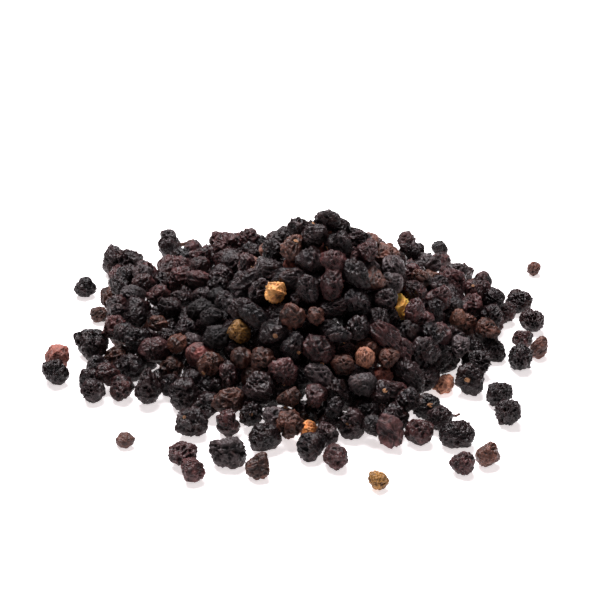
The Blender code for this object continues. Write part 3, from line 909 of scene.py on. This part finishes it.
def add_berry(skin, centre, r, form, look, rows, seed, on_floor, shown_way):
    """A berry with its folds and wrinkles. Returns its points for what sits on it."""
    ways, triangles = BALLS[rows]
    ways = unit(ways + shown_way)
    draw = random.Random(seed)
    lift, ridge = wrinkles(ways, draw, LOOKS[look][4])
    points = form_points(ways, 1 + lift, r, form) + np.array(centre)
    if on_floor:
        points[:, 2] -= points[:, 2].min() + SETTLE
        points[:, 2] = np.maximum(points[:, 2], 0)
    skin.add(points, triangles, skin_tint(ways, ridge, look, draw))
    return points


def add_scar(skin, points, centre, way, radius, seed):
    """A small lobed calyx disc on a berry's skin, where the direction from its centre meets it."""
    draw = random.Random(seed)
    out = points - np.array(centre)
    spot = int((unit(out) @ way).argmax())
    height = float(np.linalg.norm(out[spot]))
    side, other = crosswise(way, SCAR_HINT)
    lobes = draw.choice(SCAR_LOBES)
    start = draw.uniform(0, math.tau)
    turns = start + math.tau * np.arange(SCAR_TURNS) / SCAR_TURNS
    lobed = radius * (1 + SCAR_LOBE_DEPTH * np.cos(lobes * turns))
    lobed *= 1 + draw.uniform(*SCAR_OVAL) * np.cos(2 * turns)
    lobed *= np.array([draw.uniform(*SCAR_RAGGED) for _ in turns])
    flat = np.outer(lobed * np.cos(turns), side) + np.outer(lobed * np.sin(turns), other)
    age = draw.uniform(*SCAR_AGE)
    places = []
    tints = []
    for share, rise, tint in SCAR_RINGS:
        lift = height + rise * radius * np.array([draw.uniform(*SCAR_UNEVEN) for _ in turns])
        places.append(np.array(centre) + np.outer(lift, way) + share * flat)
        tints += [(*(np.array(tint) * age * draw.uniform(*SCAR_MOTTLE)), SCAR_ROUGH) for _ in turns]
    foot = np.array(centre) + way * (height + SCAR_FOOT * radius)
    middle = np.array(centre) + way * (height + SCAR_MIDDLE * radius)
    places = np.concatenate([*places, [foot, middle]])
    tints = np.array(tints + [(*SCAR_PIT, DULL), (*(np.array(SCAR_RIM) * age), DULL)])
    skin.add(places, ring_faces(SCAR_TURNS, len(SCAR_RINGS)), tints)


def ring_faces(turns, rings):
    """Triangles of a closed body of rings, with a middle point below the first and above the last."""
    triangles = []
    below, above = turns * rings, turns * rings + 1
    for k in range(turns):
        n = (k + 1) % turns
        triangles.append((below, n, k))
        for ring in range(rings - 1):
            a, b = ring * turns, (ring + 1) * turns
            triangles += [(a + k, a + n, b + n), (a + k, b + n, b + k)]
        last = (rings - 1) * turns
        triangles.append((above, last + k, last + n))
    return np.array(triangles)


def add_stalk(skin, centre, line, thick, seed):
    """A dried stalk along a line of points, thinner and knobbly towards its end."""
    draw = random.Random(seed)
    line = np.array(line) + np.array(centre)
    steps = np.linspace(0, len(line) - 1, STALK_RINGS)
    middle = np.stack([np.interp(steps, np.arange(len(line)), line[:, k]) for k in range(3)], 1)
    turns = math.tau * np.arange(STALK_TURNS) / STALK_TURNS
    places = []
    tints = []
    for k, point in enumerate(middle):
        ahead = unit(middle[min(k + 1, len(middle) - 1)] - middle[max(k - 1, 0)])
        side, other = crosswise(ahead, STALK_HINT)
        wide = thick / 2 * (1 - STALK_THINS * k / len(middle)) * draw.uniform(*STALK_KNOBS)
        ragged = wide * np.array([draw.uniform(*STALK_RAGGED) for _ in turns])
        ring = np.outer(ragged * np.cos(turns), side) + np.outer(ragged * np.sin(turns), other)
        places.append(point + ring)
        tints += [(*(np.array(STALK_TINT) * draw.uniform(*STALK_MOTTLE)), DULL) for _ in turns]
    places = np.concatenate([*places, [middle[0]], [middle[-1]]])
    tints = np.array(tints + [(*STALK_TINT, DULL)] * 2)
    skin.add(places, ring_faces(STALK_TURNS, len(middle)), tints)


def cells_seen(centres, radii, toward):
    """How many cells of a coarse picture each ball covers, seen from far off in that direction."""
    toward = unit(np.array(toward, float))
    side = unit(np.cross(VIEW_HINT, toward))
    above = np.cross(toward, side)
    left, low = centres @ side / PICTURE_CELL, centres @ above / PICTURE_CELL
    left, low = left - left.min() + PICTURE_EDGE, low - low.min() + PICTURE_EDGE
    owner = np.full((int(low.max()) + 2 * PICTURE_EDGE, int(left.max()) + 2 * PICTURE_EDGE), -1)
    for i in np.argsort(centres @ toward):
        reach = radii[i] / PICTURE_CELL
        x0, y0 = int(left[i] - reach), int(low[i] - reach)
        x1, y1 = int(left[i] + reach) + 2, int(low[i] + reach) + 2
        gx, gy = np.meshgrid(np.arange(x0, x1), np.arange(y0, y1))
        owner[y0:y1, x0:x1][(gx - left[i]) ** 2 + (gy - low[i]) ** 2 < reach**2] = i
    return np.bincount(owner[owner >= 0], minlength=len(centres))


def rows_for(centres, radii):
    """How finely each berry of the heap is cut, by whether it shows."""
    front = cells_seen(centres, radii, -FORWARD)
    round_about = cells_seen(centres, radii, (0, 0, 1))
    for k in range(SIDES):
        turn = math.tau * k / SIDES
        way = (math.cos(turn), math.sin(turn), math.tan(SIDE_RISE))
        round_about = np.maximum(round_about, cells_seen(centres, radii, way))
    rows = np.where(round_about >= CELLS_SEEN, SIDE_ROWS, HIDDEN_ROWS)
    rows = np.where(front >= CELLS_SEEN, CLOSE_ROWS, rows)
    rows = np.where(front >= CELLS_OPEN, OPEN_ROWS, rows)
    # Each shows its side that faces out of the heap, and toward the view if it is in view.
    out = centres / (CONE[2], CONE[3], CONE[4] / 2) - (CONE[0] / CONE[2], CONE[1] / CONE[3], 0)
    return rows, CROWDING * unit(unit(out) - FORWARD * (front >= CELLS_SEEN)[:, None])


def skin_material(name, gloss):
    """A dried berry's skin: the mesh's colours with their painted shade and highlight, blotched, with
    fine creases painted lighter on their lines and darker between, and grain.
    """
    material = bpy.data.materials.new(name)
    material.use_nodes = True
    nodes, links = material.node_tree.nodes, material.node_tree.links
    shader = nodes["Principled BSDF"]
    shader.inputs["Specular IOR Level"].default_value = gloss
    coords = nodes.new("ShaderNodeTexCoord").outputs["Object"]
    carried = nodes.new("ShaderNodeAttribute")
    carried.attribute_name = "skin"

    def noise(scale, detail):
        field = nodes.new("ShaderNodeTexNoise")
        field.inputs["Scale"].default_value = scale / MM
        field.inputs["Detail"].default_value = detail
        links.new(coords, field.inputs["Vector"])
        return field

    def ramp(value, low, high, to_low, to_high):
        step = nodes.new("ShaderNodeMapRange")
        step.inputs["From Min"].default_value = low
        step.inputs["From Max"].default_value = high
        step.inputs["To Min"].default_value = to_low
        step.inputs["To Max"].default_value = to_high
        links.new(value, step.inputs["Value"])
        return step.outputs["Result"]

    def join(a, b, operation):
        both = nodes.new("ShaderNodeMath")
        both.operation = operation
        links.new(a, both.inputs[0])
        links.new(b, both.inputs[1])
        return both.outputs["Value"]

    bent = nodes.new("ShaderNodeVectorMath")
    bent.operation = "MULTIPLY_ADD"
    links.new(noise(BEND_SCALE, BEND_DETAIL).outputs["Color"], bent.inputs[0])
    bent.inputs[1].default_value = (BEND * MM,) * 3
    links.new(coords, bent.inputs[2])
    creases = nodes.new("ShaderNodeTexVoronoi")
    creases.feature = "DISTANCE_TO_EDGE"
    creases.inputs["Scale"].default_value = CREASE_SCALE / MM
    links.new(bent.outputs["Vector"], creases.inputs["Vector"])
    crease = ramp(creases.outputs["Distance"], 0.0, CREASE_WIDTH, 1.0, 0.0)
    grain = noise(GRAIN_SCALE, GRAIN_DETAIL).outputs["Fac"]
    blotch = noise(BLOTCH_SCALE, BLOTCH_DETAIL).outputs["Fac"]

    shade = nodes.new("ShaderNodeMix")
    shade.data_type = "RGBA"
    shade.blend_type = "MULTIPLY"
    shade.inputs["Factor"].default_value = 1.0
    links.new(carried.outputs["Color"], shade.inputs["A"])
    blotched = ramp(blotch, *NOISE_MIDDLE, *BLOTCH_SHADES)
    # Painted highlight on the creases' raised lines and painted shade in the cells between them.
    crease_shade_and_highlight = ramp(crease, 0.0, 1.0, *CREASE_SHADE_AND_HIGHLIGHT)
    links.new(join(blotched, crease_shade_and_highlight, "MULTIPLY"), shade.inputs["B"])
    links.new(shade.outputs["Result"], shader.inputs["Base Color"])

    grainy = ramp(grain, *NOISE_MIDDLE, *GRAIN_ROUGH)
    links.new(join(carried.outputs["Alpha"], grainy, "ADD"), shader.inputs["Roughness"])

    raised = ramp(crease, 0.0, 1.0, 0.0, CREASE_HEIGHT)
    height = join(raised, ramp(grain, *NOISE_SPAN, 0.0, GRAIN_HEIGHT), "ADD")
    bump = nodes.new("ShaderNodeBump")
    bump.inputs["Strength"].default_value = 1.0
    bump.inputs["Distance"].default_value = BUMP_DEPTH * MM
    links.new(height, bump.inputs["Height"])
    links.new(bump.outputs["Normal"], shader.inputs["Normal"])
    return material


MATERIALS = {name: skin_material(name, gloss) for name, gloss in GLOSS.items()}
BALLS = {rows: geodesic(rows) for rows in (OPEN_ROWS, CLOSE_ROWS, SIDE_ROWS, HIDDEN_ROWS)}


def look_drawn(draw, y):
    """One of the usual looks, by its share at that distance from the front."""
    left = draw.random()
    shares = BACK_SHARES if y > BACK else SHARES
    for look, share in shares.items():
        left -= share
        if left < 0:
            return look
    return "dark"


def node_berry(node, centres):
    """Which poured berry a CAD node stands for: the one at the middle of its box."""
    low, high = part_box(node)
    middle = np.array((low + high) / 2) / MM
    return int(((centres - middle) ** 2).sum(1).argmin())


def make_heap(berries):
    """The heap in slices like a pie's, and each berry of another colour as a piece of its own."""
    centres = np.array([b[:3] for b in berries])
    radii = np.array([b[3] for b in berries])
    accents = {node_berry(node, centres): node for node in ACCENTS}
    tinted = {hit_through(px, py, centres, radii)[0]: look for px, py, look in TINTED}
    scars = {}
    for px, py, radius in SCARS_SEEN:
        i, way = hit_through(px, py, centres, radii)
        scars.setdefault(i, []).append((way, radius))
    # A coloured berry and its neighbours keep their form, so that it shows as in the part.
    kept = set()
    for i in accents:
        kept |= set(np.flatnonzero(((centres - centres[i]) ** 2).sum(1) < NEIGHBOUR**2).tolist())
    shaped = {}
    for px, py, stretch, lean, swell in SHAPED:
        lean = math.radians(lean)
        axis = RIGHT * math.cos(lean) + UP * math.sin(lean)
        shaped[hit_through(px, py, centres, radii)[0]] = (axis, stretch, swell)
    rows, shown_ways = rows_for(centres, radii)
    turn = np.arctan2(centres[:, 1] - CONE[1], centres[:, 0] - CONE[0])
    order = np.argsort(turn)
    share = ICOSAHEDRON_FACES * (rows**2).sum() / SLICES
    slices = [Skin()]
    for i in order:
        if slices[-1].faces >= share and len(slices) < SLICES:
            slices.append(Skin())
        i = int(i)
        draw = random.Random(LOOK_SEED + i)
        skin = slices[-1]
        look = tinted.get(i, look_drawn(draw, centres[i][1]))
        if i in accents:
            skin = Skin()
            look = ACCENTS[accents[i]][0]
        centre, r = centres[i], radii[i]
        form = heap_form(i, i in kept)
        if i in shaped and i not in accents:
            form["stretch"] = shaped[i]
        cut = OPEN_ROWS if i in accents else int(rows[i])
        on_floor = centre[2] < r + FLOOR_REACH
        points = add_berry(skin, centre, r, form, look, cut, SKIN_SEED + i, on_floor, shown_ways[i])
        marks = scars.get(i, [])
        if not marks and i not in accents and cut > HIDDEN_ROWS and draw.random() < SCAR_SHARE:
            marks = [(np.array(random_way(draw)), draw.uniform(*SCAR_RADIUS))]
        for k, (way, radius) in enumerate(marks):
            add_scar(skin, points, centre, way, radius, SCAR_SEED + i * 4 + k)
        if i in accents:
            node = accents[i]
            skin.piece(node + "_skin", ACCENTS[node][1], [node])
    for k, skin in enumerate(slices):
        skin.piece(f"heap_slice_{k + 1}", "dark_skin", ["heap"])


def make_loose():
    """The loose berries, with the lumps and stalks on them."""
    names = list(LOOSE)
    centres = np.array([(x, y, across / 2) for x, y, across, _ in LOOSE.values()])
    radii = np.array([across / 2 for _, _, across, _ in LOOSE.values()])
    scars = {}
    for px, py, radius in LOOSE_SCARS:
        i, way = hit_through(px, py, centres, radii)
        scars.setdefault(i, []).append((way, radius))
    for index, name in enumerate(names):
        look = LOOSE[name][3]
        centre, r = centres[index], radii[index]
        skin = Skin()
        seed = LOOSE_SKIN_SEED + index * 10
        form = loose_form(name, index)
        points = add_berry(skin, centre, r, form, look, OPEN_ROWS, seed, True, LOOSE_WAY)
        for lump, (dx, dy, dz, wide) in enumerate(LUMPS.get(name, ())):
            form = berry_form(LUMP_FORM_SEED + index * 10 + lump)
            place = centre + (dx, dy, dz)
            low = abs(dz) < LUMP_REACH
            add_berry(skin, place, wide / 2, form, look, OPEN_ROWS, seed + lump + 1, low, LOOSE_WAY)
        if name in STALKS:
            line, thick = STALKS[name]
            add_stalk(skin, centre, line, thick, seed + 7)
        for k, (way, radius) in enumerate(scars.get(index, [])):
            add_scar(skin, points, centre, way, radius, seed + 8 + k)
        skin.piece(name + "_skin", LOOSE_SLOTS[look], [name])


def camera():
    """The photograph's camera, aimed so that the frame's middle is the photograph's."""
    middle = pixel_place(PHOTO_SIDE / 2, PHOTO_SIDE / 2)
    data = bpy.data.cameras.new("camera")
    data.sensor_width = SENSOR
    data.lens = SENSOR * float(np.linalg.norm(middle - EYE)) / (PHOTO_SIDE * PIXEL)
    thing = bpy.data.objects.new("camera", data)
    thing.location = Vector(EYE * MM)
    thing.rotation_mode = "QUATERNION"
    thing.rotation_quaternion = Vector(middle - EYE).to_track_quat("-Z", "Y")
    bpy.context.scene.collection.objects.link(thing)
    bpy.context.scene.camera = thing


def floor():
    """The plain pale ground."""
    mesh = bpy.data.meshes.new("floor")
    signs = ((-1, -1), (1, -1), (1, 1), (-1, 1))
    corners = [(x * FLOOR_REACHES, y * FLOOR_REACHES, 0) for x, y in signs]
    mesh.from_pydata(corners, [], [(0, 1, 2, 3)])
    material = bpy.data.materials.new("floor")
    material.use_nodes = True
    shader = material.node_tree.nodes["Principled BSDF"]
    shader.inputs["Base Color"].default_value = FLOOR_COLOUR
    shader.inputs["Roughness"].default_value = FLOOR_ROUGH
    shader.inputs["Specular IOR Level"].default_value = FLOOR_SHINE
    shader.inputs["Emission Color"].default_value = FLOOR_GLOW
    shader.inputs["Emission Strength"].default_value = FLOOR_GLOW_STRENGTH
    mesh.materials.append(material)
    thing = bpy.data.objects.new("floor", mesh)
    bpy.context.scene.collection.objects.link(thing)


def area_light(name, place, side, watts):
    """A square lamp that faces the middle of the floor."""
    data = bpy.data.lights.new(name, "AREA")
    data.shape = "SQUARE"
    data.size = side
    data.energy = watts
    data.color = LAMP_COLOUR
    thing = bpy.data.objects.new(name, data)
    thing.location = place
    thing.rotation_mode = "QUATERNION"
    thing.rotation_quaternion = (-Vector(place)).to_track_quat("-Z", "Y")
    bpy.context.scene.collection.objects.link(thing)


def light():
    """Soft studio light: the dim surround, a large soft box above and behind, and a weak fill."""
    world = bpy.data.worlds.new("studio")
    world.use_nodes = True
    back = world.node_tree.nodes["Background"]
    back.inputs["Color"].default_value = SURROUND_COLOUR
    back.inputs["Strength"].default_value = SURROUND_STRENGTH
    bpy.context.scene.world = world
    for name, (place, side, watts) in LAMPS.items():
        area_light(name, place, side, watts)
    bpy.context.scene.view_settings.view_transform = "Standard"


camera()
floor()
light()
make_heap(pour())
make_loose()
